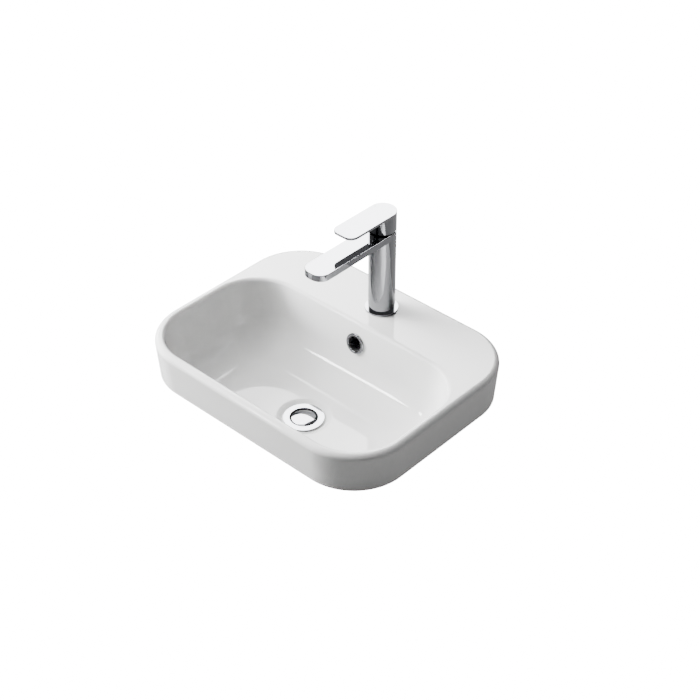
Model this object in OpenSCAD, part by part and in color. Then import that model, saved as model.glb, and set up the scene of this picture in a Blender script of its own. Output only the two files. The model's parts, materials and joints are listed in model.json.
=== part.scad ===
// Inset wash basin with single-lever mixer tap, overflow and push waste.
// Millimetres. +Z is up and -Y is the side the spout points to.
// Z = 0 is the plane of the bench top that the skirt stands on.
// The origin is the middle of the rear foot of the skirt.

/* [Basin] */
// overall width of the basin at its widest line
body_w = 500; // [470:10:560]
// overall depth, front to back
body_d = 392; // [380:4:440]
// height of the rim above the bench
rim_h = 71; // [64:1:90]
// plan radius of the outer corners
corner_r = 99; // [97:1:110]
// outer rounding of the top edge
rim_out_r = 9; // [6:0.5:10]
// inner rounding of the rim into the bowl
rim_in_r = 6.5; // [5:0.5:7]
// flat left on the crest of the rim
rim_flat = 0.5; // [0.4:0.1:1.5]
// lean of the skirt, degrees, in towards the bench
skirt_lean = 4.08; // [2:0.1:5]
// thickness of the skirt at its foot
skirt_t = 12; // [11:0.5:14]
// thickness of the tap deck
deck_t = 12; // [10:0.5:14]
// depth of the flat deck behind the bowl
deck_d = 119.5; // [112:0.5:126]
// steepness of the bowl wall, degrees
wall_a = 82; // [80:0.5:84]
// radius between bowl wall and bowl floor
floor_r = 65; // [55:1:66]
// how far the bowl floor lies below the bench
floor_drop = 47.5; // [40:0.5:60]
// thickness of the bowl wall
china_t = 10; // [9:0.5:12]

/* [Overflow] */
// height of the overflow centre above the bench
over_z = 31.5; // [30:0.5:36]
// outer diameter of the overflow ring
over_ring_d = 36.5; // [35:0.5:39]
// clear hole through the overflow ring
over_hole_d = 27.5; // [26:0.5:28]
// how far the ring stands off the wall
over_ring_t = 3; // [2.5:0.5:4]
// radius of the passage behind the bowl
passage_r = 7; // [5:0.5:7.5]

/* [Waste] */
// forward distance from basin centre to the waste
waste_fwd = 53; // [50:1:56]
// diameter of the waste flange
flange_d = 67; // [66:0.5:72]
// thickness of the waste flange
flange_t = 2; // [1.5:0.5:3]
// flange top below the bowl floor
flange_drop = 1.5; // [1:0.5:2]
// outside diameter of the threaded tail
tail_d = 41.9; // [41.4:0.1:42.2]
// bore of the tail above its inner ledge
tail_bore_d = 36; // [35:0.5:37]
// length of the whole waste below its flange top
waste_len = 91; // [85:1:110]
// diameter of the waste hole in the china
waste_hole_d = 45.5; // [45:0.5:47]
// diameter of the dark gap round the plug
plug_gap_d = 47; // [46.5:0.5:48]
// diameter of the plug
plug_d = 40; // [38:0.5:40]
// rise of the domed plug top
plug_dome = 3.5; // [2:0.5:5]
// number of overflow slots in the tail
slot_n = 4; // [2:1:5]

/* [Tap] */
// distance from the rear edge of the deck forward to the tap
tap_in = 61.6; // [59:0.2:64]
// diameter of the column
column_d = 45; // [44.8:0.2:47]
// height of the body top above the deck
column_h = 153; // [150:1:175]
// thickness of the spout slab
spout_t = 11.5; // [11:0.5:14]
// reach of the spout nose from the tap axis
spout_reach = 166.4; // [150:0.2:176]
// corner radius of the spout nose
spout_nose_r = 19; // [8:0.5:21]
// edge rounding of spout and lever
edge_r = 1.2; // [0.5:0.1:1.5]
// aerator centre from the tap axis
aerator_reach = 140.4; // [126:0.2:142]
// outside diameter of the aerator housing
aerator_d = 25; // [24:0.5:27]
// how far the aerator stands below the spout
aerator_drop = 9.5; // [7:0.5:12]
// diameter of the tap hole in the deck
tap_hole_d = 35; // [34.5:0.5:37]
// diameter of the base ring
base_d = 55; // [52:0.5:60]
// thickness of the base ring
base_t = 2.5; // [2:0.5:5]

/* [Lever] */
// gap between body top and lever hub
lever_gap = 2.5; // [2.5:0.1:4]
// reach of the lever nose from the tap axis
lever_reach = 97.8; // [80:0.2:120]
// corner radius of the lever nose
lever_nose_r = 15; // [8:0.5:21]
// thickness of the lever plate
lever_t = 4; // [3:0.5:6]
// height of hub and plate together
lever_h = 33.5; // [33:0.5:38]
// distance of each temperature mark from the axis
mark_x = 16.7; // [12:0.1:18]
// diameter of each temperature mark
mark_d = 1.6; // [1.2:0.1:2]

/* [Tap parts] */
// radius of the cartridge
cart_r = 17.5; // [17.4:0.1:17.6]
// radius of a supply thread
inlet_r = 4.5; // [4:0.1:4.8]
// sideways offset of each supply
inlet_x = 7.5; // [7:0.1:7.8]
// radius of a fixing stud
stud_r = 3; // [2.5:0.5:3]
// sideways offset of each fixing stud
stud_x = 8.5; // [8.2:0.1:8.8]
// length of each fixing stud
stud_l = 68; // [60:1:74]

/* [Fits] */
// radial clearance of turning and sliding fits
run_c = 0.05; // [0.02:0.01:0.1]
// clearance between faces of different bodies
gap_c = 0.3; // [0.25:0.05:0.4]

/* [Hidden] */
$fn = 64;
over = 3;
// rounds stand this far past their tangent lines, so that faces cross cleanly
nip = 0.02;
foot_in = (rim_h - rim_out_r) * tan(skirt_lean) - rim_out_r * (1 / cos(skirt_lean) - 1);
seat_y = body_d / 2 - foot_in - skirt_t / 2;
// two solids that are one casting run this far into each other
join = 1;
tap_back = body_d / 2 - tap_in;
xc = body_w / 2 - corner_r;
yc = body_d / 2 - corner_r;
mouth_in = rim_out_r + rim_flat + rim_in_r * tan(wall_a / 2);
wall_k = 1 / tan(wall_a);
floor_z = -floor_drop;
arc_z = floor_z + floor_r;
arc_q = corner_r - mouth_in - (rim_h - arc_z + floor_r * cos(wall_a)) * wall_k - floor_r * sin(wall_a);
mouth_y = body_d / 2 - deck_d;
bowl_rc_y = mouth_y - (corner_r - mouth_in);
under_z = rim_h - deck_t;
under_q = corner_r - foot_in - skirt_t;
under_r = 8;
shell_top = rim_h - deck_t / 2;
// bowl rear wall at the overflow, and the wall's tilt
over_y = mouth_y - (rim_h - over_z) * wall_k;
over_tilt = 90 - wall_a;
over_barrel_r = over_hole_d / 2 + 1.7;
over_depth = 19.5;
over_barrel_l = 9;
ring_round = 1.5;
// the black liner in the ring, its mouth set back from the ring's front
liner_z = 1.5 - over_ring_t;
liner_l = over_depth - gap_c - liner_z;
liner_t = 1.2;
liner_way = 13;
liner_way_y = 4;
liner_way_z = 9.5;
fin_r = 9.5;
fin_w = 1.2;
house_w = 42;
house_back = 31;
house_wall = 6.5;
elbow_more = 0.4;
arc_y = bowl_rc_y + arc_q;
// the overflow passage in (y, z), from the chamber round the bowl to the waste hole
pass_out = 23;
pass_turn = 29.6;
pass_low_y = 22.6;
pass_low_z = floor_z - china_t - house_wall;
pass_a = [over_y + over_depth - 3, over_z - 2.3];
pass_b = [arc_y + (floor_r + pass_out) * cos(pass_turn), arc_z - (floor_r + pass_out) * sin(pass_turn)];
pass_c = [arc_y + pass_low_y, pass_low_z];
pass_d = [-waste_fwd + waste_hole_d / 2 - 3, pass_low_z];
// levels at the waste, from the top down
flange_z = floor_z - flange_drop;
flange_low = flange_z - flange_t;
top_seal_t = 1;
recess_z = flange_low - top_seal_t;
recess_r1 = flange_d / 2 + 1;
recess_r2 = recess_r1 + 10.5;
sink_r = flange_d / 2 - 4.2;
sink_z = recess_z - 7;
boss_drop = 22.5;
boss_z = floor_z - china_t - boss_drop;
boss_r1 = 37;
boss_r2 = 51;
tail_z = flange_z - waste_len;
ledge_z = flange_z - 31;
ledge_in = 1;
seat_r = plug_gap_d / 2;
seat_in = 3;
seat_h = 8;
seat_k = (seat_r - tail_bore_d / 2) / (seat_h - seat_in);
cone_top_r = seat_r + 4;
cone_low_z = flange_low - 7.5;
slot_w = 7;
slot_h = 12;
slot_z = pass_low_z;
plug_edge_z = flange_z - 1;
plug_low_z = plug_edge_z - 1.2;
plug_seal_h = 4.2;
plug_hold_h = 1.5;
plug_hold_r = 15.5;
stem_r = 4;
stem_l = 44;
barrel_r = 9;
barrel_top = flange_z - 21;
barrel_h = 40;
barrel_floor = 6;
arm_w = 2.5;
arm_h = 5;
ring_w = 1.6;
eye_w = 1.4;
low_seal_t = 4;
slip_t = 1.5;
nut_h = 9;
nut_r = 31;
low_ring_r = 30;
tail_fit = 0.15;
// the groove under the back nut, below which the tail is free for a trap
groove_h = 2;
groove_t = 1;
groove_z = boss_z - low_seal_t - slip_t - nut_h - groove_h;
// tap, levels above the deck
tap_low = -8;
seal_t = 0.6;
col_r = column_d / 2;
body_z = base_t + seal_t;
spigot_r = tap_hole_d / 2 - 1;
cover_t = 2;
chamber_h = 43;
chamber_z = column_h - cover_t - chamber_h;
chamber_r = cart_r + 1;
cover_r = chamber_r + 1.1;
nut_top = column_h - cover_t;
nut_low = nut_top - 4;
neck_r = cart_r - 2.2;
way_z = column_h - spout_t + 1.8;
way_h = 3.7;
way_w = 16;
feed_r = 3.2;
socket_z = 4;
inlet_y = -4.5;
stud_y = 7.5;
stud_top = 10;
stud_c = 0.05;
// cartridge
disc_z = column_h - 26;
disc_h = 4;
slider_z = disc_z + disc_h;
slider_t = 3;
slider_r = 9;
driver_r = 9.5;
driver_top = column_h - 9.1;
cavity_r = cart_r - 2.7;
flange_r = cavity_r - gap_c;
carrier_z = driver_top + gap_c + 0.2;
carrier_step = column_h - 6.4;
carrier_top = column_h - 1.5;
carrier_r = 12.8;
neck_bore = carrier_r + run_c;
window_r = 2.5;
window_z = column_h - 15;
o_ring_h = 1.5;
// lever pivot, behind and above the body top
pivot_y = 8;
pivot_up = 9;
hub_z = column_h + lever_gap;
pivot_z = hub_z + pivot_up;
pin_r = 1.5;
cheek_in = 4.4;
cheek_out = 7;
cheek_y1 = 4.5;
cheek_y2 = 10.6;
cheek_up = 4;
spindle_x = 4;
ball_r = 2.8;
ball_y = 4;
ball_z = column_h - 14.5;
neck_rod_r = 1.8;
pocket_c = 0.2;
pocket_low = ball_z - ball_r - 0.6;
hub_hollow_r = 18.5;
hub_ceiling = hub_z + 18.5;
socket_top = hub_ceiling + 7;
relief_y = 15;
relief_a = 35;
screw_r = 2.5;
screw_z = hub_ceiling + 3.5;
screw_l = 8;
key_r = 1.45;
key_h = 2;
cap_l = 3;
mark_t = 0.4;
gasket_t = 3;
plate_t = 2.5;
fix_nut_h = 5;
fix_nut_r = 5.8;
horse_r = 26;
horse_slot = 14.5;
horse_y = 2;
thread_r = aerator_d / 2 - 2;
lip_w = 2;
lip_h = 1;
insert_r = thread_r - 1.2;
jet_r = 1.6;
thread_h = 6.5;
insert_h = 5;
washer_t = 1;
china = [0.95, 0.95, 0.94];
chromed = [0.75, 0.77, 0.8];
black = [0.12, 0.12, 0.12];
brass_c = [0.8, 0.66, 0.36];
steel_c = [0.6, 0.61, 0.63];
resin = [0.85, 0.85, 0.82];

// moves basin coordinates so that the rear foot of the skirt is the origin
module in_row() {
    translate([0, -seat_y, 0])
        children();
}

// tap coordinates: axis of the tap, zero at the top of the deck
module at_tap() {
    translate([0, tap_back - seat_y, rim_h])
        children();
}

// waste coordinates: axis of the waste, heights as for the basin
module at_waste() {
    translate([0, -waste_fwd - seat_y, 0])
        children();
}

// carries a profile of (distance out from a corner centre, height) round four corners
module carry_round(yf, yr, low, high) {
    for (c = [[xc, yr, 0], [-xc, yr, 90], [-xc, yf, 180], [xc, yf, 270]])
        translate([c[0], c[1], 0])
            rotate([0, 0, c[2]])
                rotate_extrude(angle = 90)
                    children();
    translate([xc, yr, 0])
        rotate([90, 0, 0])
            linear_extrude(yr - yf)
                children();
    translate([-xc, yf, 0])
        rotate([90, 0, 180])
            linear_extrude(yr - yf)
                children();
    translate([-xc, yr, 0])
        rotate([90, 0, 90])
            linear_extrude(2 * xc)
                children();
    translate([xc, yf, 0])
        rotate([90, 0, -90])
            linear_extrude(2 * xc)
                children();
    translate([-xc, yf, low])
        cube([2 * xc, yr - yf, high - low]);
}

// outside of skirt and deck
module block_outline() {
    tan_q = corner_r - rim_out_r + rim_out_r * cos(skirt_lean);
    tan_z = rim_h - rim_out_r - rim_out_r * sin(skirt_lean);
    polygon([[0, 0], [corner_r - foot_in, 0], [tan_q, tan_z], [corner_r - rim_out_r, rim_h],
        [0, rim_h]]);
    translate([corner_r - rim_out_r, rim_h - rim_out_r])
        circle(rim_out_r + nip);
}

// the hollow inside the skirt, open at the bench
module under_outline() {
    translate([0, -over])
        square([under_q, under_z - under_r + over]);
    translate([0, -over])
        square([under_q - under_r, under_z + over]);
    translate([under_q - under_r, under_z - under_r])
        circle(under_r);
}

// bowl wall, round and floor, t outside the bowl's own surface, up to height top
module bowl_outline(t, top) {
    r = floor_r + t;
    wq = arc_q + r * sin(wall_a);
    wz = arc_z - r * cos(wall_a);
    polygon([[0, arc_z - r], [arc_q, arc_z - r], [wq, wz], [wq + (top - wz) * wall_k, top],
        [0, top]]);
    intersection() {
        translate([arc_q, arc_z])
            circle(r + nip, $fn = 128);
        translate([0, arc_z - 2 * r])
            square(2 * r);
    }
}

// the bowl's mouth, with the rounding of the rim left standing
module mouth_outline() {
    edge_q = corner_r - rim_out_r - rim_flat;
    low_q = edge_q - rim_in_r * sin(wall_a);
    low_z = rim_h - rim_in_r + rim_in_r * cos(wall_a);
    bowl_outline(0, rim_h + over);
    difference() {
        polygon([[low_q - 1, rim_h + over], [edge_q, rim_h + over], [edge_q, rim_h - rim_in_r],
            [low_q, low_z], [low_q - 1, low_z]]);
        translate([edge_q, rim_h - rim_in_r])
            circle(rim_in_r + nip);
    }
}

module passage_leg(a, b, r) {
    along = b - a;
    turn = atan2(along[0], along[1]);
    translate([0, a[0], a[1]])
        rotate([-turn, 0, 0])
            cylinder(h = norm(along), r = r);
    translate([0, b[0], b[1]])
        sphere(r + elbow_more);
}

module overflow_ways() {
    translate([0, over_y, over_z])
        rotate([-90 - over_tilt, 0, 0])
            translate([0, 0, -over])
                cylinder(h = over_depth + over, r = over_barrel_r + run_c);
    passage_leg(pass_a, pass_b, passage_r);
    passage_leg(pass_b, pass_c, passage_r);
    translate([0, pass_c[0], pass_c[1]])
        rotate([90, 0, 0])
            cylinder(h = pass_c[0] - pass_d[0], r = passage_r);
}

module overflow_housing() {
    low = pass_low_z - passage_r - house_wall;
    // this line runs inside the bowl's wall and floor, so that no hollow is left
    inner_r = floor_r + china_t / 5;
    translate([-house_w / 2, 0, 0])
        rotate([90, 0, 90])
            linear_extrude(house_w)
                polygon([[over_y - join, under_z + join], [over_y + house_back, under_z + join],
                    [over_y + house_back, over_z - passage_r / 2],
                    [pass_b[0] + passage_r + house_wall, pass_b[1] - passage_r],
                    [pass_c[0] + house_wall, low], [pass_d[0] - join, low],
                    [pass_d[0] - join, floor_z - china_t / 2], [arc_y, arc_z - inner_r],
                    [arc_y + inner_r * sin(25), arc_z - inner_r * cos(25)],
                    [arc_y + inner_r * sin(50), arc_z - inner_r * cos(50)],
                    [arc_y + inner_r * sin(75), arc_z - inner_r * cos(75)]]);
}

module basin() {
    color(china)
    in_row() difference() {
        union() {
            difference() {
                carry_round(-yc, yc, 0, rim_h)
                    block_outline();
                carry_round(-yc, yc, -over, under_z)
                    under_outline();
            }
            carry_round(-yc, bowl_rc_y, floor_z - china_t, shell_top)
                bowl_outline(china_t, shell_top);
            overflow_housing();
            translate([0, -waste_fwd, boss_z])
                cylinder(h = boss_drop + china_t / 2, r1 = boss_r1, r2 = boss_r2);
        }
        carry_round(-yc, bowl_rc_y, floor_z, rim_h + over)
            mouth_outline();
        translate([0, -waste_fwd, recess_z])
            cylinder(h = floor_z - recess_z, r1 = recess_r1, r2 = recess_r2);
        translate([0, -waste_fwd, sink_z])
            cylinder(h = recess_z - sink_z, r1 = waste_hole_d / 2, r2 = sink_r);
        translate([0, -waste_fwd, boss_z - over])
            cylinder(h = floor_z - boss_z, r = waste_hole_d / 2);
        translate([0, tap_back, under_z - over])
            cylinder(h = deck_t + 2 * over, r = tap_hole_d / 2);
        overflow_ways();
    }
}

// overflow coordinates: axis of the ring, zero at the bowl's wall, positive into it
module at_overflow() {
    in_row() translate([0, over_y, over_z])
        rotate([-90 - over_tilt, 0, 0])
            children();
}

module overflow_ring() {
    color(chromed)
    at_overflow() rotate_extrude() {
        translate([over_hole_d / 2, -over_ring_t + ring_round])
            square([over_ring_d / 2 - over_hole_d / 2, over_ring_t - ring_round]);
        translate([over_hole_d / 2 + ring_round, -over_ring_t])
            square([over_ring_d / 2 - over_hole_d / 2 - 2 * ring_round, ring_round]);
        translate([over_hole_d / 2 + ring_round, ring_round - over_ring_t])
            circle(ring_round);
        translate([over_ring_d / 2 - ring_round, ring_round - over_ring_t])
            circle(ring_round);
        translate([over_hole_d / 2, 0])
            square([over_barrel_r - over_hole_d / 2, over_barrel_l]);
    }
}

// a cup with short fins, open below to the passage
module overflow_liner() {
    tube_r = over_hole_d / 2 - run_c;
    color(black)
    at_overflow() difference() {
        union() {
            difference() {
                translate([0, 0, liner_z])
                    cylinder(h = liner_l, r = tube_r);
                translate([0, 0, liner_z - over])
                    cylinder(h = liner_l - liner_t + over, r = tube_r - liner_t);
            }
            for (a = [150:60:390])
                rotate([0, 0, a])
                    translate([fin_r, -fin_w / 2, liner_z + liner_t])
                        cube([tube_r - fin_r - liner_t / 2, fin_w, liner_l - 1.5 * liner_t]);
        }
        translate([-liner_way / 2, liner_way_y, liner_way_z])
            cube([liner_way, over_hole_d, liner_l]);
    }
}

// rectangle from the axis to w with a rounded outer top corner
module edge_outline(w, low, high, r) {
    translate([0, low])
        square([w, high - low - r]);
    translate([0, low])
        square([w - r, high - low]);
    translate([w - r, high - r])
        circle(r, $fn = 32);
}

// a flat arm: round behind at radius w, straight sides, and a nose with rounded corners
module arm(w, reach, nose_r, low, high, r) {
    rotate_extrude(angle = 180)
        edge_outline(w, low, high, r);
    for (s = [0, 180])
        translate([0, s == 0 ? 0 : nose_r - reach, 0])
            rotate([90, 0, s])
                linear_extrude(reach - nose_r)
                    edge_outline(w, low, high, r);
    for (s = [0, 1])
        translate([(2 * s - 1) * (w - nose_r), nose_r - reach, 0])
            rotate([0, 0, 180 + 90 * s])
                rotate_extrude(angle = 90)
                    edge_outline(nose_r, low, high, r);
    translate([w - nose_r, nose_r - reach, 0])
        rotate([90, 0, -90])
            linear_extrude(2 * (w - nose_r))
                edge_outline(nose_r, low, high, r);
}

module tap_body() {
    color(chromed)
    at_tap() difference() {
        union() {
            translate([0, 0, tap_low])
                cylinder(h = body_z + join - tap_low, r = spigot_r);
            translate([0, 0, body_z])
                cylinder(h = column_h - spout_t - body_z, r = col_r, $fn = 128);
            translate([0, 0, body_z + join])
                cylinder(h = column_h - spout_t - body_z, r = col_r - join, $fn = 128);
            arm(col_r, spout_reach, spout_nose_r, column_h - spout_t, column_h, edge_r);
        }
        translate([0, 0, chamber_z])
            cylinder(h = nut_top - chamber_z, r = chamber_r);
        translate([0, 0, nut_top])
            cylinder(h = cover_t + over, r = cover_r);
        translate([-way_w / 2, -aerator_reach, way_z])
            cube([way_w, aerator_reach, way_h]);
        translate([0, -aerator_reach, column_h - spout_t - over])
            cylinder(h = thread_h + over, r = thread_r + run_c);
        for (s = [-1, 1]) {
            translate([s * inlet_x, inlet_y, tap_low - over])
                cylinder(h = socket_z - tap_low + over, r = inlet_r);
            translate([s * inlet_x, inlet_y, 0])
                cylinder(h = chamber_z + over, r = feed_r);
            translate([s * stud_x, stud_y, tap_low - over])
                cylinder(h = stud_top - tap_low + over, r = stud_r + stud_c);
        }
    }
}

module base_ring() {
    color(chromed)
    at_tap() difference() {
        translate([0, 0, seal_t])
            cylinder(h = base_t, r = base_d / 2, $fn = 128);
        translate([0, 0, seal_t - over])
            cylinder(h = base_t + 2 * over, r = spigot_r + run_c);
    }
}

module base_seal() {
    color(black)
    at_tap() difference() {
        cylinder(h = seal_t, r = base_d / 2 - 1);
        translate([0, 0, -over])
            cylinder(h = 2 * over, r = spigot_r + 1);
    }
}

module at_aerator() {
    at_tap() translate([0, -aerator_reach, column_h - spout_t])
        children();
}

module aerator_housing() {
    color(chromed)
    at_aerator() difference() {
        union() {
            translate([0, 0, -aerator_drop])
                cylinder(h = aerator_drop, r = aerator_d / 2);
            cylinder(h = thread_h - washer_t, r = thread_r);
        }
        translate([0, 0, -aerator_drop - over])
            cylinder(h = thread_h + aerator_drop + 2 * over, r = thread_r - lip_w);
        translate([0, 0, lip_h - aerator_drop])
            cylinder(h = thread_h + aerator_drop + over, r = insert_r);
    }
}

module aerator_insert() {
    color(resin)
    at_aerator() difference() {
        translate([0, 0, lip_h - aerator_drop])
            cylinder(h = insert_h, r = insert_r - run_c);
        for (a = [0:60:300])
            rotate([0, 0, a])
                translate([thread_r / 2, 0, -aerator_drop])
                    cylinder(h = insert_h + over, r = jet_r);
    }
}

module aerator_washer() {
    color(black)
    at_aerator() difference() {
        translate([0, 0, thread_h - washer_t])
            cylinder(h = washer_t, r = thread_r - run_c);
        cylinder(h = thread_h + over, r = thread_r - 2.5);
    }
}

module cartridge_body() {
    color(resin)
    at_tap() difference() {
        union() {
            translate([0, 0, chamber_z])
                cylinder(h = nut_low - chamber_z, r = cart_r);
            translate([0, 0, nut_low])
                cylinder(h = nut_top - nut_low, r = neck_r);
        }
        translate([0, 0, disc_z])
            cylinder(h = carrier_step + run_c - disc_z, r = cavity_r);
        translate([0, 0, disc_z])
            cylinder(h = nut_top - disc_z + over, r = neck_bore);
        for (s = [-1, 1]) {
            translate([s * inlet_x, inlet_y, chamber_z - over])
                cylinder(h = disc_z - chamber_z + 2 * over, r = feed_r);
            translate([s * inlet_x, inlet_y, chamber_z - over])
                cylinder(h = o_ring_h + over, r = feed_r + 2);
        }
        translate([0, 0, window_z])
            rotate([0, 90, 0])
                translate([0, 0, -cart_r - over])
                    cylinder(h = 2 * (cart_r + over), r = window_r);
    }
}

module cartridge_rings() {
    color(black)
    at_tap() for (s = [-1, 1])
        translate([s * inlet_x, inlet_y, chamber_z])
            difference() {
                cylinder(h = o_ring_h, r = feed_r + 1.9);
                translate([0, 0, -over])
                    cylinder(h = o_ring_h + 2 * over, r = feed_r + 0.2);
            }
}

module fixed_disc() {
    color([0.93, 0.93, 0.9])
    at_tap() difference() {
        translate([0, 0, disc_z])
            cylinder(h = disc_h, r = cavity_r - run_c);
        for (s = [-1, 1])
            translate([s * inlet_x, inlet_y, disc_z - over])
                cylinder(h = disc_h + 2 * over, r = feed_r);
    }
}

module cartridge_nut() {
    color(brass_c)
    at_tap() translate([0, 0, nut_low])
        difference() {
            cylinder(h = nut_top - nut_low, r = chamber_r - run_c);
            translate([0, 0, -over])
                cylinder(h = nut_top - nut_low + 2 * over, r = neck_r + run_c);
        }
}

module cartridge_cover() {
    color(black)
    at_tap() translate([0, 0, nut_top])
        difference() {
            cylinder(h = cover_t, r = cover_r - run_c);
            translate([0, 0, -over])
                cylinder(h = cover_t + 2 * over, r = carrier_r + 0.4);
        }
}

module carrier() {
    color(resin)
    at_tap() difference() {
        union() {
            translate([0, 0, carrier_z])
                cylinder(h = carrier_step - carrier_z, r = flange_r);
            translate([0, 0, carrier_z])
                cylinder(h = carrier_top - carrier_z, r = carrier_r);
            for (s = [-1, 1])
                translate([s > 0 ? cheek_in : -cheek_out, cheek_y1, carrier_top - 1])
                    cube([cheek_out - cheek_in, cheek_y2 - cheek_y1,
                        pivot_z + cheek_up - carrier_top + 1]);
        }
        translate([-cheek_in, -carrier_r + 4, carrier_z - over])
            cube([2 * cheek_in, 2 * carrier_r - 6, carrier_top - carrier_z + 2 * over]);
        translate([-cheek_out - over, pivot_y, pivot_z])
            rotate([0, 90, 0])
                cylinder(h = 2 * (cheek_out + over), r = pin_r + nip);
    }
}

module lever_pin() {
    color(steel_c)
    at_tap() translate([-cheek_out, pivot_y, pivot_z])
        rotate([0, 90, 0])
            cylinder(h = 2 * cheek_out, r = pin_r);
}

module sliding_disc() {
    color([0.93, 0.93, 0.9])
    at_tap() translate([0, ball_y, slider_z + run_c])
        cylinder(h = slider_t, r = slider_r);
}

module disc_driver() {
    color(resin)
    at_tap() difference() {
        translate([0, ball_y, slider_z + run_c + slider_t])
            cylinder(h = driver_top - slider_z - slider_t - run_c, r = driver_r);
        translate([-ball_r - pocket_c, ball_y - ball_r - pocket_c, pocket_low])
            cube([2 * (ball_r + pocket_c), 2 * (ball_r + pocket_c), driver_top - pocket_low + over]);
    }
}

module spindle() {
    color(steel_c)
    at_tap() difference() {
        union() {
            translate([-spindle_x, -spindle_x, pivot_z - 6.5])
                cube([2 * spindle_x, pivot_y + 2 * spindle_x, hub_ceiling - pivot_z + 6.5]);
            translate([-spindle_x, -spindle_x, hub_ceiling - 1])
                cube([2 * spindle_x, 2 * spindle_x, socket_top - hub_ceiling + 1]);
            translate([0, ball_y, ball_z])
                cylinder(h = pivot_z - 6 - ball_z, r = neck_rod_r);
            translate([0, ball_y, ball_z])
                sphere(ball_r);
        }
        translate([-spindle_x - over, pivot_y, pivot_z])
            rotate([0, 90, 0])
                cylinder(h = 2 * (spindle_x + over), r = pin_r + run_c);
    }
}

module lever() {
    color(chromed)
    at_tap() difference() {
        union() {
            arm(col_r, lever_reach, lever_nose_r, hub_z + lever_h - lever_t, hub_z + lever_h,
                edge_r);
            translate([0, 0, hub_z])
                cylinder(h = lever_h - lever_t, r = col_r, $fn = 128);
            translate([0, 0, hub_z + join])
                cylinder(h = lever_h - lever_t, r = col_r - join, $fn = 128);
        }
        translate([0, 0, hub_z - over])
            cylinder(h = hub_ceiling - hub_z + over, r = hub_hollow_r);
        translate([-spindle_x, -spindle_x, hub_ceiling - over])
            cube([2 * spindle_x, 2 * spindle_x, socket_top - hub_ceiling + over]);
        translate([0, spindle_x - 1, screw_z])
            rotate([-90, 0, 0])
                cylinder(h = col_r + over, r = screw_r + run_c);
        translate([-col_r - over, relief_y, hub_z])
            rotate([relief_a, 0, 0])
                translate([0, 0, -2 * over - over])
                    cube([2 * (col_r + over), col_r, 3 * over]);
        for (s = [-1, 1])
            translate([s * mark_x, 0, hub_z + lever_h - mark_t])
                cylinder(h = over, r = mark_d / 2 + run_c);
    }
}

module lever_screw() {
    color(steel_c)
    at_tap() translate([0, spindle_x, screw_z])
        rotate([-90, 0, 0])
            difference() {
                cylinder(h = screw_l, r = screw_r);
                translate([0, 0, screw_l - key_h])
                    cylinder(h = over, r = key_r, $fn = 6);
            }
}

module screw_cap() {
    color(chromed)
    at_tap() translate([0, col_r - cap_l - 0.3, screw_z])
        rotate([-90, 0, 0])
            cylinder(h = cap_l, r = screw_r);
}

module mark(s, shade) {
    color(shade)
    at_tap() translate([s * mark_x, 0, hub_z + lever_h - mark_t])
        cylinder(h = mark_t, r = mark_d / 2);
}

module hot_mark() {
    mark(-1, [0.75, 0.12, 0.1]);
}

module cold_mark() {
    mark(1, [0.1, 0.25, 0.7]);
}

module at_studs() {
    at_tap() for (s = [-1, 1])
        translate([s * stud_x, stud_y, 0])
            children();
}

module fixing_studs() {
    color(steel_c)
    at_studs() translate([0, 0, stud_top - stud_l])
        cylinder(h = stud_l, r = stud_r);
}

module horseshoe(r, t, grow) {
    difference() {
        cylinder(h = t, r = r);
        translate([-horse_slot, -r - over, -over])
            cube([2 * horse_slot, r + over + horse_y, t + 2 * over]);
        for (s = [-1, 1])
            translate([s * stud_x, stud_y, -over])
                cylinder(h = t + 2 * over, r = stud_r + grow);
    }
}

module fixing_gasket() {
    color(black)
    at_tap() translate([0, 0, -deck_t - gasket_t])
        horseshoe(horse_r, gasket_t, 0.5);
}

module fixing_plate() {
    color(brass_c)
    at_tap() translate([0, 0, -deck_t - gasket_t - plate_t])
        horseshoe(horse_r - 1, plate_t, 0.3);
}

module fixing_nuts() {
    color(brass_c)
    at_studs() translate([0, 0, -deck_t - gasket_t - plate_t - fix_nut_h])
        difference() {
            cylinder(h = fix_nut_h, r = fix_nut_r, $fn = 6);
            translate([0, 0, -over])
                cylinder(h = fix_nut_h + 2 * over, r = stud_r + stud_c);
        }
}

module waste_body() {
    color(chromed)
    at_waste() difference() {
        union() {
            translate([0, 0, flange_low])
                cylinder(h = flange_t, r = flange_d / 2, $fn = 128);
            translate([0, 0, cone_low_z])
                cylinder(h = flange_low - cone_low_z, r1 = tail_d / 2, r2 = cone_top_r);
            translate([0, 0, groove_z + groove_h])
                cylinder(h = flange_low - groove_z - groove_h, r = tail_d / 2);
            translate([0, 0, groove_z - join])
                cylinder(h = groove_h + 2 * join, r = tail_d / 2 - groove_t);
            translate([0, 0, tail_z])
                cylinder(h = groove_z - tail_z, r = tail_d / 2);
        }
        translate([0, 0, flange_z - seat_h])
            cylinder(h = seat_h - seat_in, r1 = tail_bore_d / 2, r2 = seat_r);
        translate([0, 0, flange_z - seat_in])
            cylinder(h = seat_in + over, r = seat_r);
        translate([0, 0, ledge_z])
            cylinder(h = flange_z - ledge_z - 1, r = tail_bore_d / 2);
        translate([0, 0, tail_z - over])
            cylinder(h = flange_z - tail_z, r = tail_bore_d / 2 - ledge_in);
        for (i = [0:slot_n - 1])
            rotate([0, 0, 90 + i * 360 / slot_n])
                translate([0, -slot_w / 2, slot_z - slot_h / 2])
                    cube([tail_d, slot_w, slot_h]);
    }
}

module ring_at_waste(low, t, r_out, r_in) {
    at_waste() difference() {
        translate([0, 0, low])
            cylinder(h = t, r = r_out);
        translate([0, 0, low - over])
            cylinder(h = t + 2 * over, r = r_in);
    }
}

module waste_top_seal() {
    color(black)
    ring_at_waste(recess_z, top_seal_t, flange_d / 2 - 0.5, sink_r + 0.3);
}

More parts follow.
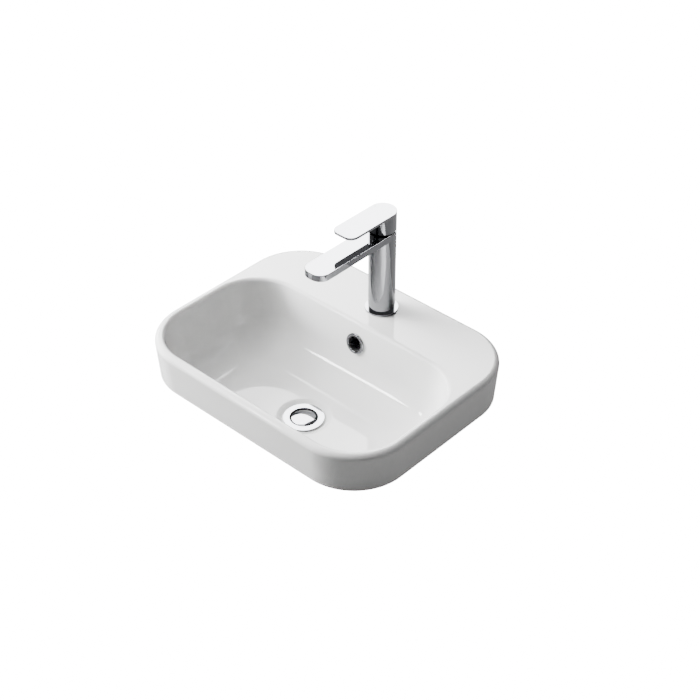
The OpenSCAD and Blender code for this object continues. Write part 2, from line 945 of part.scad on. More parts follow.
module waste_low_seal() {
    color(black)
    ring_at_waste(boss_z - low_seal_t, low_seal_t, low_ring_r + 1, tail_d / 2 + tail_fit);
}

module slip_ring() {
    color(resin)
    ring_at_waste(boss_z - low_seal_t - slip_t, slip_t, low_ring_r, tail_d / 2 + tail_fit);
}

module back_nut() {
    color(brass_c)
    at_waste() translate([0, 0, boss_z - low_seal_t - slip_t - nut_h])
        difference() {
            cylinder(h = nut_h, r = nut_r, $fn = 6);
            translate([0, 0, -over])
                cylinder(h = nut_h + 2 * over, r = tail_d / 2 + run_c);
        }
}

module plug_cap() {
    dome_r = (plug_d * plug_d / 4 + plug_dome * plug_dome) / (2 * plug_dome);
    color(chromed)
    at_waste() {
        translate([0, 0, plug_low_z])
            cylinder(h = plug_edge_z - plug_low_z, r = plug_d / 2, $fn = 128);
        intersection() {
            translate([0, 0, plug_edge_z + plug_dome - dome_r])
                sphere(dome_r, $fn = 128);
            translate([0, 0, plug_edge_z - 1])
                cylinder(h = plug_dome + over, r = plug_d / 2, $fn = 128);
        }
    }
}

module plug_seal() {
    seal_r = seat_r - gap_c;
    cone_h = plug_seal_h - (plug_low_z - flange_z + seat_in);
    color(black)
    at_waste() difference() {
        union() {
            translate([0, 0, flange_z - seat_in])
                cylinder(h = plug_low_z - flange_z + seat_in, r = seal_r);
            translate([0, 0, plug_low_z - plug_seal_h])
                cylinder(h = cone_h, r1 = seal_r - seat_k * cone_h, r2 = seal_r);
        }
        translate([0, 0, plug_low_z - plug_seal_h - over])
            cylinder(h = plug_seal_h + 2 * over, r = stem_r + run_c);
    }
}

module plug_stem() {
    color(steel_c)
    at_waste() {
        translate([0, 0, plug_low_z - stem_l])
            cylinder(h = stem_l, r = stem_r);
        translate([0, 0, plug_low_z - plug_seal_h - plug_hold_h])
            cylinder(h = plug_hold_h, r = plug_hold_r);
    }
}

module click_barrel() {
    color(resin)
    at_waste() difference() {
        translate([0, 0, barrel_top - barrel_h])
            cylinder(h = barrel_h, r = barrel_r);
        translate([0, 0, barrel_top - barrel_h + barrel_floor])
            cylinder(h = barrel_h, r = stem_r + run_c);
    }
}

module barrel_bridge() {
    color(resin)
    at_waste() translate([0, 0, ledge_z])
        difference() {
            union() {
                difference() {
                    cylinder(h = arm_h, r = tail_bore_d / 2 - run_c);
                    translate([0, 0, -over])
                        cylinder(h = arm_h + 2 * over, r = tail_bore_d / 2 - ring_w);
                }
                cylinder(h = arm_h, r = barrel_r + eye_w);
                translate([-arm_w / 2, ring_w / 2 - tail_bore_d / 2, 0])
                    cube([arm_w, tail_bore_d - ring_w, arm_h]);
            }
            translate([0, 0, -over])
                cylinder(h = arm_h + 2 * over, r = barrel_r);
        }
}

basin();
overflow_ring();
overflow_liner();
tap_body();
base_ring();
base_seal();
aerator_housing();
aerator_insert();
aerator_washer();
cartridge_body();
cartridge_rings();
fixed_disc();
cartridge_nut();
cartridge_cover();
carrier();
lever_pin();
sliding_disc();
disc_driver();
spindle();
lever();
lever_screw();
screw_cap();
hot_mark();
cold_mark();
fixing_studs();
fixing_gasket();
fixing_plate();
fixing_nuts();
waste_body();
waste_top_seal();
plug_cap();
plug_seal();
plug_stem();
click_barrel();
barrel_bridge();
waste_low_seal();
slip_ring();
back_nut();
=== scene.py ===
import json
import math

import bpy
import numpy as np
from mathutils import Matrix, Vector
from mathutils.geometry import tessellate_polygon

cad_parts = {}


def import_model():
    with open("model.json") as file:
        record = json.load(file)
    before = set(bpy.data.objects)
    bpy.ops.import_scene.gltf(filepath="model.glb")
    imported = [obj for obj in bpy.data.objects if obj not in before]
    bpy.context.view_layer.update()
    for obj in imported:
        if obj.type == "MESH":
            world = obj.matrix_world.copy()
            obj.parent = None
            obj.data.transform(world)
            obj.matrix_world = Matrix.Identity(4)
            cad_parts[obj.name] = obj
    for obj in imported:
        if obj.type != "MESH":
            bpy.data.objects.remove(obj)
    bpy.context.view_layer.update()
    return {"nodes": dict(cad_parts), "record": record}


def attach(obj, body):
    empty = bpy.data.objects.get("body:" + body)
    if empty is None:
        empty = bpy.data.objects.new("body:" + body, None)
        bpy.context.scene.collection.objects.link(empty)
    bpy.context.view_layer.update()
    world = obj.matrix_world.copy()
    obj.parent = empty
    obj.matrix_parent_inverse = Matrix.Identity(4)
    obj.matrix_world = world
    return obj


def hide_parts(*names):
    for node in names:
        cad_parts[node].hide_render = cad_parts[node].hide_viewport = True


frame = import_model()
NODES = frame["nodes"]

# sizes, in millimetres as in part.scad
MM = 0.001
BODY_W, BODY_D, RIM_H, CORNER_R = 500.0, 392.0, 71.0, 99.0
RIM_OUT_R, RIM_IN_R, RIM_FLAT = 9.0, 6.5, 0.5
LEAN = math.radians(4.08)
SKIRT_T, WALL_A = 12.0, math.radians(82.0)
FLOOR_R, FLOOR_Z, DECK_D = 65.0, -47.5, 119.5
WASTE_Y, TAP_Y, TAP_HOLE_R = -53.0, 134.4, 17.5
OVER_Z, OVER_HOLE_R = 31.5, 15.5
RECESS_Z, SINK_R, DISH_IN_R, DISH_OUT_R = -52.0, 29.3, 34.2, 47.0
TAIL_R, TAIL_END, TAIL_PITCH, TAIL_RIDGE, TAIL_TURNS = 20.95, -138.5, 2.309, 0.5, 17.5
STUD_R, STUD_END, STUD_PITCH, STUD_RIDGE, STUD_TURNS = 3.0, 14.0, 1.0, 0.3, 33.0
STUD_X, STUD_Y = 8.5, 141.9
FOOT_IN = (RIM_H - RIM_OUT_R) * math.tan(LEAN) - RIM_OUT_R * (1 / math.cos(LEAN) - 1)
SEAT_Y = BODY_D / 2 - FOOT_IN - SKIRT_T / 2
XC, YC = BODY_W / 2 - CORNER_R, BODY_D / 2 - CORNER_R
MOUTH_IN = RIM_OUT_R + RIM_FLAT + RIM_IN_R * math.tan(WALL_A / 2)
ARC_Z = FLOOR_Z + FLOOR_R
ARC_Q = (CORNER_R - MOUTH_IN - (RIM_H - ARC_Z + FLOOR_R * math.cos(WALL_A)) / math.tan(WALL_A)
         - FLOOR_R * math.sin(WALL_A))
MOUTH_Y = BODY_D / 2 - DECK_D
BOWL_Y = MOUTH_Y - (CORNER_R - MOUTH_IN)
OVER_Y = MOUTH_Y - (RIM_H - OVER_Z) / math.tan(WALL_A)

# how finely the roundings are divided
CORNER_STEPS, SIDE_STEPS, ROUND_STEPS, OVER_STEPS = 40, 18, 96, 64
SKIRT_STEPS, RIM_STEPS, MOUTH_STEPS, FLOOR_STEPS, DISH_STEPS = 6, 18, 14, 36, 16
# edges steeper than this stay sharp
SHARP_ANGLE = math.radians(28)
# how near to a surface of the china piece the middle of a CAD face is when that face is left out
NEAR_FOOT, NEAR_FLAT, NEAR_FLOOR, NEAR_BOWL = 0.02, 0.05, 0.1, 0.4
NEAR_MOUTH, NEAR_RIM, NEAR_SKIRT = 0.5, 1.0, 2.0
UP = (0, 0, 1)


# mesh helpers
class Soup:
    """Faces with a normal for each corner, joined into one mesh at the end."""

    def __init__(self):
        self.points, self.faces, self.normals, self.index = [], [], [], {}

    def vertex(self, p):
        key = (round(p[0], 4), round(p[1], 4), round(p[2], 4))
        if key not in self.index:
            self.index[key] = len(self.points)
            self.points.append(tuple(p))
        return self.index[key]

    def face(self, corners, normals):
        ids = [self.vertex(p) for p in corners]
        keep = [k for k in range(len(ids)) if ids[k] != ids[k - 1]]
        if len(keep) < 3:
            return
        self.faces.append([ids[k] for k in keep])
        self.normals.append([normals[k] for k in keep])

    def strip(self, a, b, na, nb):
        """Quads between rings a and b, facing outwards where the rings rise."""
        n = len(a)
        for i in range(n):
            j = (i + 1) % n
            self.face([a[i], a[j], b[j], b[i]], [na[i], na[j], nb[j], nb[i]])

    def flat(self, loops, normal):
        """A flat face with holes; loops are lists of points, the outline first."""
        every = [p for loop in loops for p in loop]
        for t in tessellate_polygon([[Vector(p) for p in loop] for loop in loops]):
            tri = [every[k] for k in t]
            a, b, c = (Vector(p) for p in tri)
            if (b - a).cross(c - a).dot(Vector(normal)) < 0:
                tri.reverse()
            self.face(tri, [normal] * 3)

    def build(self, name):
        mesh = bpy.data.meshes.new(name)
        mesh.from_pydata([(x * MM, (y - SEAT_Y) * MM, z * MM) for x, y, z in self.points],
                         [], self.faces)
        mesh.polygons.foreach_set("use_smooth", [True] * len(mesh.polygons))
        mesh.normals_split_custom_set([n for f in self.normals for n in f])
        mesh.update()
        obj = bpy.data.objects.new(name, mesh)
        bpy.context.scene.collection.objects.link(obj)
        return obj


def ring(rc_y, q, z):
    """Points and outward directions round a rounded rectangle, q out from its corner centres,
    the rear ones at rc_y."""
    pts, dirs = [], []
    centres = [(XC, rc_y, 0), (-XC, rc_y, 90), (-XC, -YC, 180), (XC, -YC, 270)]
    for k, (cx, cy, start) in enumerate(centres):
        for i in range(CORNER_STEPS + 1):
            a = math.radians(start + 90 * i / CORNER_STEPS)
            pts.append((cx + q * math.cos(a), cy + q * math.sin(a), z))
            dirs.append((math.cos(a), math.sin(a)))
        nx, ny, _ = centres[(k + 1) % 4]
        a = math.radians(start + 90)
        for i in range(1, SIDE_STEPS):
            t = i / SIDE_STEPS
            pts.append((cx + (nx - cx) * t + q * math.cos(a), cy + (ny - cy) * t + q * math.sin(a), z))
            dirs.append((math.cos(a), math.sin(a)))
    return pts, dirs


def lift(dirs, nq, nz):
    """Normals with these outward and upward parts."""
    return [(dx * nq, dy * nq, nz) for dx, dy in dirs]


def circle_ring(cy, r, z):
    """Points and outward directions round a circle in the middle of the basin's width."""
    turns = [2 * math.pi * i / ROUND_STEPS for i in range(ROUND_STEPS)]
    dirs = [(math.cos(a), math.sin(a)) for a in turns]
    return [(r * dx, cy + r * dy, z) for dx, dy in dirs], dirs


def sweep(soup, rc_y, profile):
    """Joins a ring at each point of a profile, and gives the first and last ring with normals."""
    first, last = None, None
    for q, z, nq, nz in profile:
        pts, dirs = ring(rc_y, q, z)
        normals = lift(dirs, nq, nz)
        if last:
            soup.strip(last[0], pts, last[1], normals)
        else:
            first = (pts, normals)
        last = (pts, normals)
    return first, last


# basin
def outer_profile():
    """(q, z, normal q, normal z) from the foot up to the start of the deck."""
    out = []
    tq = CORNER_R - RIM_OUT_R + RIM_OUT_R * math.cos(LEAN)
    tz = RIM_H - RIM_OUT_R - RIM_OUT_R * math.sin(LEAN)
    for i in range(SKIRT_STEPS + 1):
        t = i / SKIRT_STEPS
        out.append((CORNER_R - FOOT_IN + (tq - CORNER_R + FOOT_IN) * t, tz * t,
                    math.cos(LEAN), -math.sin(LEAN)))
    for i in range(1, RIM_STEPS + 1):
        a = -LEAN + (math.pi / 2 + LEAN) * i / RIM_STEPS
        out.append((CORNER_R - RIM_OUT_R + RIM_OUT_R * math.cos(a),
                    RIM_H - RIM_OUT_R + RIM_OUT_R * math.sin(a), math.cos(a), math.sin(a)))
    return out


def mouth_profile():
    """From the top of the rim's inner rounding down to the start of the wall."""
    edge_q = CORNER_R - RIM_OUT_R - RIM_FLAT
    out = []
    for i in range(MOUTH_STEPS + 1):
        a = math.pi / 2 + WALL_A * i / MOUTH_STEPS
        out.append((edge_q + RIM_IN_R * math.cos(a), RIM_H - RIM_IN_R + RIM_IN_R * math.sin(a),
                    math.cos(a), math.sin(a)))
    return out


def round_profile():
    """From the foot of the wall round to the floor."""
    out = []
    first = -(math.pi / 2 - WALL_A)
    for i in range(FLOOR_STEPS + 1):
        a = first - (math.pi / 2 + first) * i / FLOOR_STEPS
        out.append((ARC_Q + FLOOR_R * math.cos(a), ARC_Z + FLOOR_R * math.sin(a),
                    -math.cos(a), -math.sin(a)))
    return out


def bowl_q(z):
    """Distance of the bowl's surface from its corner centres at height z."""
    wall_low = ARC_Z - FLOOR_R * math.cos(WALL_A)
    if z >= wall_low:
        return CORNER_R - MOUTH_IN - (RIM_H - z) / math.tan(WALL_A)
    d = min(ARC_Z - z, FLOOR_R)
    return ARC_Q + math.sqrt(max(FLOOR_R ** 2 - d * d, 0))


def inset(x, y, rc_y):
    """Distance out from the nearest corner centre or side line of a rounded rectangle."""
    mid, half = (rc_y - YC) / 2, (rc_y + YC) / 2
    dx, dy = abs(x) - XC, abs(y - mid) - half
    if dx <= 0 or dy <= 0:
        return max(dx, dy)
    return math.hypot(dx, dy)


def cad_underside():
    """The CAD basin's triangles that aren't on its skirt, deck or bowl, as faces and normals."""
    src = NODES["basin"].data
    co = np.zeros(len(src.vertices) * 3)
    src.vertices.foreach_get("co", co)
    co = co.reshape(-1, 3) / MM
    co[:, 1] += SEAT_Y
    keys, points, point_of = {}, [], []
    for p in co:
        key = tuple(np.round(p, 3))
        if key not in keys:
            keys[key] = len(points)
            points.append(tuple(p))
        point_of.append(keys[key])
    faces = []
    for poly in src.polygons:
        ids = [point_of[v] for v in poly.vertices]
        if len(set(ids)) < 3:
            continue
        x, y, z = np.mean([points[k] for k in ids], axis=0)
        q_out, q_in = inset(x, y, YC), inset(x, y, BOWL_Y)
        on_skirt = z > NEAR_FOOT and q_out > CORNER_R - FOOT_IN - NEAR_SKIRT
        on_rim = z > RIM_H - RIM_OUT_R and q_out > CORNER_R - RIM_OUT_R - NEAR_RIM
        on_deck = z > RIM_H - NEAR_FLAT
        in_bowl = z > FLOOR_Z - NEAR_FLOOR and q_in < bowl_q(z) + NEAR_BOWL
        in_mouth = z > RIM_H - RIM_IN_R - NEAR_MOUTH and q_in < CORNER_R - RIM_OUT_R
        in_dish = math.hypot(x, y - WASTE_Y) < DISH_OUT_R - NEAR_RIM and z > RECESS_Z - NEAR_FLAT
        if not (on_skirt or on_rim or on_deck or in_bowl or in_mouth or in_dish):
            faces.append(ids)
    mesh = bpy.data.meshes.new("underside")
    mesh.from_pydata(points, [], faces)
    mesh.polygons.foreach_set("use_smooth", [True] * len(mesh.polygons))
    mesh.set_sharp_from_angle(angle=SHARP_ANGLE)
    mesh.update()
    out, k = [], 0
    corner = [tuple(n.vector) for n in mesh.corner_normals]
    for poly in mesh.polygons:
        n = len(poly.vertices)
        out.append(([points[v] for v in poly.vertices], corner[k:k + n]))
        k += n
    bpy.data.meshes.remove(mesh)
    return out


def add_walls(soup, top, low):
    """The bowl's straight walls; the rear one carries the overflow hole."""
    rear = range(CORNER_STEPS, CORNER_STEPS + SIDE_STEPS)
    n = len(top[0])
    for i in range(n):
        j = (i + 1) % n
        if i not in rear:
            soup.face([top[0][i], top[0][j], low[0][j], low[0][i]],
                      [top[1][i], top[1][j], low[1][j], low[1][i]])
    tilt = math.pi / 2 - WALL_A
    hole = []
    for i in range(OVER_STEPS):
        a = 2 * math.pi * i / OVER_STEPS
        up_wall = OVER_HOLE_R * math.sin(a)
        hole.append((OVER_HOLE_R * math.cos(a), OVER_Y + up_wall * math.sin(tilt),
                     OVER_Z + up_wall * math.cos(tilt)))
    outline = top[0][rear.start:rear.stop + 1] + low[0][rear.start:rear.stop + 1][::-1]
    soup.flat([outline, hole], (0, -math.cos(tilt), math.sin(tilt)))


def dish_rings():
    """Rings, with normals, of the soft dish from the floor down to the flat round the waste."""
    fall = RECESS_Z - FLOOR_Z
    for i in range(DISH_STEPS + 1):
        t = i / DISH_STEPS
        r = DISH_OUT_R + (DISH_IN_R - DISH_OUT_R) * t
        z = FLOOR_Z + fall * (t * t * (3 - 2 * t))
        slope = fall * 6 * t * (1 - t) / (DISH_IN_R - DISH_OUT_R)
        length = math.hypot(1, slope)
        pts, dirs = circle_ring(WASTE_Y, r, z)
        yield pts, lift(dirs, -slope / length, 1 / length)


def add_floor(soup, edge):
    """The bowl's floor inside this edge, down to the hole of the waste."""
    rings = list(dish_rings())
    soup.flat([edge, rings[0][0]], UP)
    for (a, na), (b, nb) in zip(rings, rings[1:]):
        soup.strip(a, b, na, nb)
    hole = circle_ring(WASTE_Y, SINK_R, RECESS_Z)[0]
    soup.strip(rings[-1][0], hole, [UP] * len(hole), [UP] * len(hole))


def make_basin():
    """The china in one piece, with true normals on what shows and the CAD mesh below."""
    soup = Soup()
    _, skirt_top = sweep(soup, YC, outer_profile())
    mouth_top, wall_top = sweep(soup, BOWL_Y, mouth_profile())
    tap_hole = circle_ring(TAP_Y, TAP_HOLE_R, RIM_H)[0]
    soup.flat([skirt_top[0], mouth_top[0], tap_hole], UP)
    wall_low, floor_edge = sweep(soup, BOWL_Y, round_profile())
    add_walls(soup, wall_top, wall_low)
    add_floor(soup, floor_edge[0])
    for corners, normals in cad_underside():
        soup.face(corners, normals)
    obj = soup.build("basin_china")
    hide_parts("basin")
    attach(obj, "root")
    return obj


# materials
def material(name, colour, rough, metallic=0.0, ior=1.5, vary=0.03, rough_vary=0.04, scale=40.0,
             bump=0.0, bump_scale=200.0, specular=0.5):
    """A plain procedural finish: colour and roughness drift a little, and the surface may be uneven."""
    mat = bpy.data.materials.new(name)
    mat.use_nodes = True
    tree = mat.node_tree
    nodes, links = tree.nodes, tree.links
    shader = nodes["Principled BSDF"]
    shader.inputs["Metallic"].default_value = metallic
    shader.inputs["IOR"].default_value = ior
    shader.inputs["Specular IOR Level"].default_value = specular
    coord = nodes.new("ShaderNodeTexCoord")
    noise = nodes.new("ShaderNodeTexNoise")
    noise.inputs["Scale"].default_value = scale
    noise.inputs["Detail"].default_value = 4.0
    links.new(coord.outputs["Object"], noise.inputs["Vector"])
    ramp = nodes.new("ShaderNodeValToRGB")
    ramp.color_ramp.elements[0].position = 0.3
    ramp.color_ramp.elements[1].position = 0.7
    ramp.color_ramp.elements[0].color = [c * (1 - vary) for c in colour] + [1]
    ramp.color_ramp.elements[1].color = [min(c * (1 + vary), 1) for c in colour] + [1]
    links.new(noise.outputs["Fac"], ramp.inputs["Fac"])
    links.new(ramp.outputs["Color"], shader.inputs["Base Color"])
    span = nodes.new("ShaderNodeMapRange")
    span.inputs["To Min"].default_value = max(rough - rough_vary, 0.0)
    span.inputs["To Max"].default_value = rough + rough_vary
    links.new(noise.outputs["Fac"], span.inputs["Value"])
    links.new(span.outputs["Result"], shader.inputs["Roughness"])
    if bump:
        fine = nodes.new("ShaderNodeTexNoise")
        fine.inputs["Scale"].default_value = bump_scale
        links.new(coord.outputs["Object"], fine.inputs["Vector"])
        lump = nodes.new("ShaderNodeBump")
        lump.inputs["Strength"].default_value = bump
        lump.inputs["Distance"].default_value = 0.0002
        links.new(fine.outputs["Fac"], lump.inputs["Height"])
        links.new(lump.outputs["Normal"], shader.inputs["Normal"])
    return mat


MATERIALS = {
    "china": material("glaze", (0.6, 0.6, 0.597), 0.05, vary=0.006, rough_vary=0.015, scale=9.0,
                      bump=0.03, bump_scale=60.0),
    "disc_ceramic": material("disc_ceramic", (0.85, 0.84, 0.8), 0.2),
    "chrome": material("chrome", (0.24, 0.2435, 0.2549), 0.03, metallic=1.0, vary=0.01,
                       rough_vary=0.01, scale=60.0),
    "brass": material("brass", (0.72, 0.55, 0.27), 0.3, metallic=1.0, rough_vary=0.1, vary=0.08),
    "steel": material("steel", (0.58, 0.59, 0.6), 0.3, metallic=1.0, rough_vary=0.1, vary=0.06),
    "black_rubber": material("rubber", (0.01, 0.01, 0.011), 0.75, vary=0.2, bump=0.3,
                             bump_scale=900.0, specular=0.08),
    "black_plastic": material("black_plastic", (0.02, 0.02, 0.021), 0.45, vary=0.15, bump=0.2,
                              bump_scale=1200.0),
    "white_plastic": material("white_plastic", (0.75, 0.75, 0.71), 0.4, vary=0.03, bump=0.1,
                              bump_scale=700.0),
    "red_enamel": material("red_enamel", (0.1, 0.008, 0.006), 0.5, vary=0.1, specular=0.05),
    "blue_enamel": material("blue_enamel", (0.006, 0.016, 0.08), 0.5, vary=0.1, specular=0.05),
}


def paint(obj, slot):
    """Gives an object the finish of its slot."""
    obj.data.materials.clear()
    obj.data.materials.append(MATERIALS[slot])


def sharpen_group():
    """Geometry nodes that make edges steeper than the limit sharp."""
    group = bpy.data.node_groups.new("sharp_edges", "GeometryNodeTree")
    group.interface.new_socket("Geometry", in_out="INPUT", socket_type="NodeSocketGeometry")
    limit = group.interface.new_socket("Limit", in_out="INPUT", socket_type="NodeSocketFloat")
    limit.default_value = SHARP_ANGLE
    group.interface.new_socket("Geometry", in_out="OUTPUT", socket_type="NodeSocketGeometry")
    nodes, links = group.nodes, group.links
    start, end = nodes.new("NodeGroupInput"), nodes.new("NodeGroupOutput")
    angle = nodes.new("GeometryNodeInputMeshEdgeAngle")
    compare = nodes.new("FunctionNodeCompare")
    compare.operation = "LESS_THAN"
    smooth = nodes.new("GeometryNodeSetShadeSmooth")
    smooth.domain = "EDGE"
    links.new(start.outputs["Geometry"], smooth.inputs["Geometry"])
    links.new(angle.outputs["Unsigned Angle"], compare.inputs[0])
    links.new(start.outputs["Limit"], compare.inputs[1])
    links.new(compare.outputs["Result"], smooth.inputs["Shade Smooth"])
    links.new(smooth.outputs["Geometry"], end.inputs["Geometry"])
    return group


SHARP = sharpen_group()


def tidy_shading(obj):
    """Smooth shading with crisp edges on a CAD piece, by modifiers alone."""
    weld = obj.modifiers.new("join", "WELD")
    weld.merge_threshold = 0.000002
    edges = obj.modifiers.new("edges", "NODES")
    edges.node_group = SHARP
    weighted = obj.modifiers.new("normals", "WEIGHTED_NORMAL")
    weighted.keep_sharp = True
    weighted.weight = 100


for entry in frame["record"]["subparts"]:
    node = NODES[entry["node"]]
    paint(node, entry["material_slot"])
    if entry["node"] != "basin":
        tidy_shading(node)

basin = make_basin()
paint(basin, "china")


# threads
def thread_group():
    """Geometry nodes that wind a low ridge round a rod, once for each rod in a row."""
    group = bpy.data.node_groups.new("thread", "GeometryNodeTree")
    for name, kind, value in (("Radius", "NodeSocketFloat", 0.02), ("Pitch", "NodeSocketFloat", 0.002),
                              ("Turns", "NodeSocketFloat", 10.0), ("Ridge", "NodeSocketFloat", 0.0006),
                              ("Rods", "NodeSocketInt", 1), ("Start", "NodeSocketVector", None),
                              ("Step", "NodeSocketVector", None), ("Finish", "NodeSocketMaterial", None)):
        socket = group.interface.new_socket(name, in_out="INPUT", socket_type=kind)
        if value is not None:
            socket.default_value = value
    group.interface.new_socket("Geometry", in_out="OUTPUT", socket_type="NodeSocketGeometry")
    nodes, links = group.nodes, group.links
    start, end = nodes.new("NodeGroupInput"), nodes.new("NodeGroupOutput")
    rise = nodes.new("ShaderNodeMath")
    rise.operation = "MULTIPLY"
    links.new(start.outputs["Pitch"], rise.inputs[0])
    links.new(start.outputs["Turns"], rise.inputs[1])
    spiral = nodes.new("GeometryNodeCurveSpiral")
    spiral.inputs["Resolution"].default_value = 40
    spiral.inputs["Reverse"].default_value = True
    links.new(start.outputs["Turns"], spiral.inputs["Rotations"])
    links.new(start.outputs["Radius"], spiral.inputs["Start Radius"])
    links.new(start.outputs["Radius"], spiral.inputs["End Radius"])
    links.new(rise.outputs[0], spiral.inputs["Height"])
    upright = nodes.new("GeometryNodeSetCurveNormal")
    upright.mode = "Z_UP"
    links.new(spiral.outputs["Curve"], upright.inputs["Curve"])
    # a diamond, as wide along the rod as two thirds of the pitch
    width = nodes.new("ShaderNodeMath")
    width.operation = "MULTIPLY"
    width.inputs[1].default_value = 0.33
    links.new(start.outputs["Pitch"], width.inputs[0])
    outline = nodes.new("GeometryNodeCurvePrimitiveQuadrilateral")
    outline.mode = "KITE"
    links.new(start.outputs["Ridge"], outline.inputs["Width"])
    links.new(width.outputs[0], outline.inputs["Bottom Height"])
    links.new(width.outputs[0], outline.inputs["Top Height"])
    sweep = nodes.new("GeometryNodeCurveToMesh")
    sweep.inputs["Fill Caps"].default_value = True
    links.new(upright.outputs["Curve"], sweep.inputs["Curve"])
    links.new(outline.outputs["Curve"], sweep.inputs["Profile Curve"])
    row = nodes.new("GeometryNodeMeshLine")
    links.new(start.outputs["Rods"], row.inputs["Count"])
    links.new(start.outputs["Start"], row.inputs["Start Location"])
    links.new(start.outputs["Step"], row.inputs["Offset"])
    each = nodes.new("GeometryNodeInstanceOnPoints")
    links.new(row.outputs["Mesh"], each.inputs["Points"])
    links.new(sweep.outputs["Mesh"], each.inputs["Instance"])
    real = nodes.new("GeometryNodeRealizeInstances")
    links.new(each.outputs["Instances"], real.inputs["Geometry"])
    finish = nodes.new("GeometryNodeSetMaterial")
    links.new(real.outputs["Geometry"], finish.inputs["Geometry"])
    links.new(start.outputs["Finish"], finish.inputs["Material"])
    links.new(finish.outputs["Geometry"], end.inputs["Geometry"])
    return group


def make_thread(name, slot, **values):
    """A piece made by the thread nodes with these inputs, as a plain mesh."""
    host = bpy.data.objects.new("rod", bpy.data.meshes.new("rod"))
    wind = host.modifiers.new("thread", "NODES")
    wind.node_group = THREAD
    values["Finish"] = MATERIALS[slot]
    for item in THREAD.interface.items_tree:
        if item.in_out == "INPUT":
            wind[item.identifier] = values[item.name]
    bpy.context.scene.collection.objects.link(host)
    graph = bpy.context.evaluated_depsgraph_get()
    mesh = bpy.data.meshes.new_from_object(host.evaluated_get(graph))
    bpy.data.objects.remove(host)
    obj = bpy.data.objects.new(name, mesh)
    bpy.context.scene.collection.objects.link(obj)
    paint(obj, slot)
    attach(obj, "root")


THREAD = thread_group()
make_thread("tail_thread", "chrome", Radius=TAIL_R * MM, Pitch=TAIL_PITCH * MM, Turns=TAIL_TURNS,
            Ridge=TAIL_RIDGE * MM, Rods=1, Start=(0, (WASTE_Y - SEAT_Y) * MM, TAIL_END * MM),
            Step=(0, 0, 0))
make_thread("stud_threads", "steel", Radius=STUD_R * MM, Pitch=STUD_PITCH * MM, Turns=STUD_TURNS,
            Ridge=STUD_RIDGE * MM, Rods=2, Start=(-STUD_X * MM, (STUD_Y - SEAT_Y) * MM, STUD_END * MM),
            Step=(2 * STUD_X * MM, 0, 0))


# stage
# half the floor's width in metres, how far it runs in under the foot in millimetres, and how
# far below the foot it lies in metres
FLOOR_HALF, FLOOR_UNDER, FLOOR_DROP = 6.0, 5.0, 0.0002
# strength of the floor's glow and grey of its paint, as the basin sees it and as the camera does
FLOOR_LOOKS = ((0.34, 0.12), (17.0, 0.3))


def stage_floor():
    """A pale floor with a hole that the bowl hangs through."""
    mesh = bpy.data.meshes.new("floor")
    sheet = [(-FLOOR_HALF, -FLOOR_HALF, 0), (FLOOR_HALF, -FLOOR_HALF, 0),
             (FLOOR_HALF, FLOOR_HALF, 0), (-FLOOR_HALF, FLOOR_HALF, 0)]
    inner = ring(YC, CORNER_R - FOOT_IN - FLOOR_UNDER, 0)[0]
    cut = [(x * MM, (y - SEAT_Y) * MM, 0) for x, y, z in inner]
    loops = [[Vector(p) for p in sheet], [Vector(p) for p in cut]]
    mesh.from_pydata(sheet + cut, [], [list(t) for t in tessellate_polygon(loops)])
    floor = bpy.data.objects.new("floor", mesh)
    bpy.context.scene.collection.objects.link(floor)
    floor.location.z = -FLOOR_DROP
    mat = bpy.data.materials.new("floor")
    mat.use_nodes = True
    nodes, links = mat.node_tree.nodes, mat.node_tree.links
    nodes.clear()
    out = nodes.new("ShaderNodeOutputMaterial")
    path = nodes.new("ShaderNodeLightPath")
    mix = nodes.new("ShaderNodeMixShader")
    links.new(path.outputs["Is Camera Ray"], mix.inputs["Fac"])
    for slot, (strength, grey) in enumerate(FLOOR_LOOKS, 1):
        both = nodes.new("ShaderNodeAddShader")
        glow, paint_coat = nodes.new("ShaderNodeEmission"), nodes.new("ShaderNodeBsdfDiffuse")
        glow.inputs["Strength"].default_value = strength
        paint_coat.inputs["Color"].default_value = (grey, grey, grey, 1)
        links.new(glow.outputs[0], both.inputs[0])
        links.new(paint_coat.outputs[0], both.inputs[1])
        links.new(both.outputs[0], mix.inputs[slot])
    links.new(mix.outputs[0], out.inputs["Surface"])
    mesh.materials.append(mat)


def world(lighting, mirrored, seen):
    """White surroundings, of one strength as light, one in mirrors and one behind the floor."""
    w = bpy.data.worlds.new("studio")
    bpy.context.scene.world = w
    w.use_nodes = True
    nodes, links = w.node_tree.nodes, w.node_tree.links
    last = nodes["Background"]
    last.inputs["Color"].default_value = (1, 1, 1, 1)
    last.inputs["Strength"].default_value = lighting
    path = nodes.new("ShaderNodeLightPath")
    for ray, strength in (("Is Glossy Ray", mirrored), ("Is Camera Ray", seen)):
        mix, more = nodes.new("ShaderNodeMixShader"), nodes.new("ShaderNodeBackground")
        more.inputs["Strength"].default_value = strength
        more.inputs["Color"].default_value = (1, 1, 1, 1)
        links.new(path.outputs[ray], mix.inputs["Fac"])
        links.new(last.outputs[0], mix.inputs[1])
        links.new(more.outputs[0], mix.inputs[2])
        last = mix
    links.new(last.outputs[0], nodes["World Output"].inputs["Surface"])


def softbox(name, place, aim, size, power, use):
    """A soft area light, with what it falls on and what mirrors it set by its use."""
    data = bpy.data.lights.new(name, "AREA")
    data.shape = "RECTANGLE"
    data.size, data.size_y = size
    data.energy = power
    obj = bpy.data.objects.new(name, data)
    bpy.context.scene.collection.objects.link(obj)
    obj.location = place
    obj.rotation_mode = "QUATERNION"
    obj.rotation_quaternion = (Vector(aim) - Vector(place)).to_track_quat("-Z", "Y")
    obj.visible_diffuse = use in ("light", "both")
    obj.visible_glossy = use != "light"
    if use in MIRRORS:
        obj.light_linking.receiver_collection = MIRRORS[use]


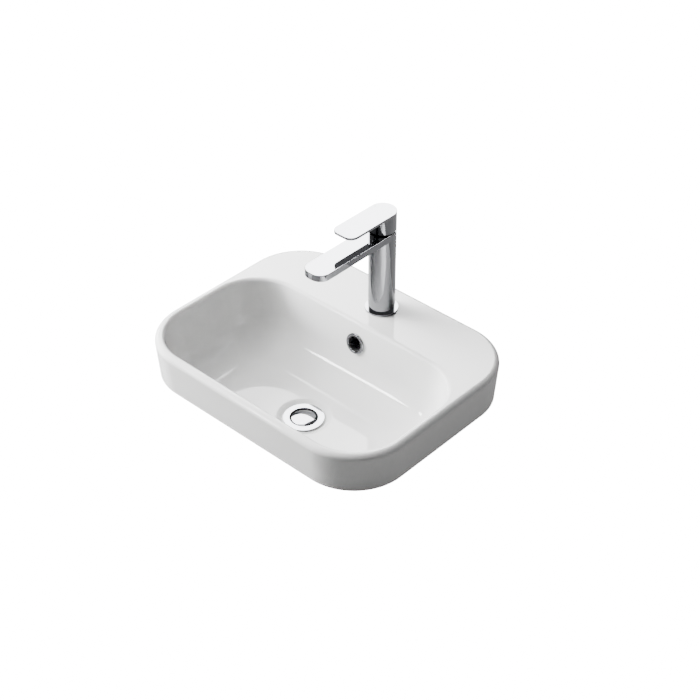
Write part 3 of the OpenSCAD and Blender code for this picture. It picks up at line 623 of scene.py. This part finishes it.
def mirror_groups():
    """The glazed pieces and the metal ones, for the softboxes that only one of them mirrors."""
    groups = {"sheen": bpy.data.collections.new("glazed"), "mirror": bpy.data.collections.new("metal")}
    groups["sheen"].objects.link(basin)
    for entry in frame["record"]["subparts"]:
        if entry["material_slot"] in ("chrome", "brass", "steel"):
            groups["mirror"].objects.link(NODES[entry["node"]])
    return groups


def radiance_power(radiance, width, height):
    """Watts for an area light of this radiance."""
    return radiance * math.pi * width * height


def camera():
    """The camera at the photograph's viewing angle."""
    azimuth, elevation = math.radians(42.616), math.radians(37.619)
    distance, lens = 2.49534, 78.77
    aim = Vector((6.11 * MM, (51.21 - SEAT_Y) * MM, 32.33 * MM))
    back = Vector((math.sin(azimuth) * math.cos(elevation),
                   -math.cos(azimuth) * math.cos(elevation), math.sin(elevation)))
    data = bpy.data.cameras.new("camera")
    data.lens, data.sensor_width = lens, 36.0
    data.clip_start, data.clip_end = 0.05, 50.0
    obj = bpy.data.objects.new("camera", data)
    bpy.context.scene.collection.objects.link(obj)
    obj.location = aim + back * distance
    obj.rotation_mode = "QUATERNION"
    obj.rotation_quaternion = (-back).to_track_quat("-Z", "Y")
    bpy.context.scene.camera = obj


# softboxes round the basin: name, azimuth from the front, elevation, width, height, radiance,
# and what each is for: "light" falls on everything, "sheen" is mirrored in the glaze alone,
# "mirror" in the metal alone, and "both" lights and is mirrored
LIGHTS = [
    ("low_left", 300, 6, 0.7, 0.7, 37.0, "light"),
    ("left", 285, 14, 0.7, 0.7, 42.0, "light"),
    ("front_left", 300, 15, 0.7, 0.7, 19.0, "light"),
    ("side", 270, 23, 0.7, 0.7, 54.0, "light"),
    ("key", 285, 23, 0.7, 0.7, 69.0, "light"),
    ("upper", 300, 38, 0.7, 0.7, 25.0, "light"),
    ("high", 300, 54, 0.7, 0.7, 20.0, "light"),
    ("top", 270, 75, 0.7, 0.7, 18.0, "light"),
    ("right_low", 120, 6, 0.7, 0.7, 4.2, "light"),
    ("behind", 220, 38, 1.0, 0.8, 16.5, "sheen"),
    ("streak", 325, 20, 0.33, 0.2, 80.0, "sheen"),
    ("backdrop", 220, 48, 2.6, 2.0, 23.1, "mirror"),
    ("overhead", 0, 86, 1.6, 1.0, 9.5, "mirror"),
    ("under_left", 320, -35, 0.7, 0.7, 16.0, "both"),
    ("under_right", 60, -30, 0.7, 0.7, 8.0, "both"),
]
# what the softboxes point at, and how far from it they stand, in metres
CENTRE, AWAY = Vector((0, -0.18, 0.05)), 2.0
stage_floor()
world(lighting=0.02, mirrored=0.4, seen=17.0)
MIRRORS = mirror_groups()
for name, az, el, wide, tall, radiance, use in LIGHTS:
    a, e = math.radians(az), math.radians(el)
    way = Vector((math.sin(a) * math.cos(e), -math.cos(a) * math.cos(e), math.sin(e)))
    power = radiance_power(radiance, wide, tall)
    softbox(name, CENTRE + way * AWAY, CENTRE, (wide, tall), power, use)
camera()
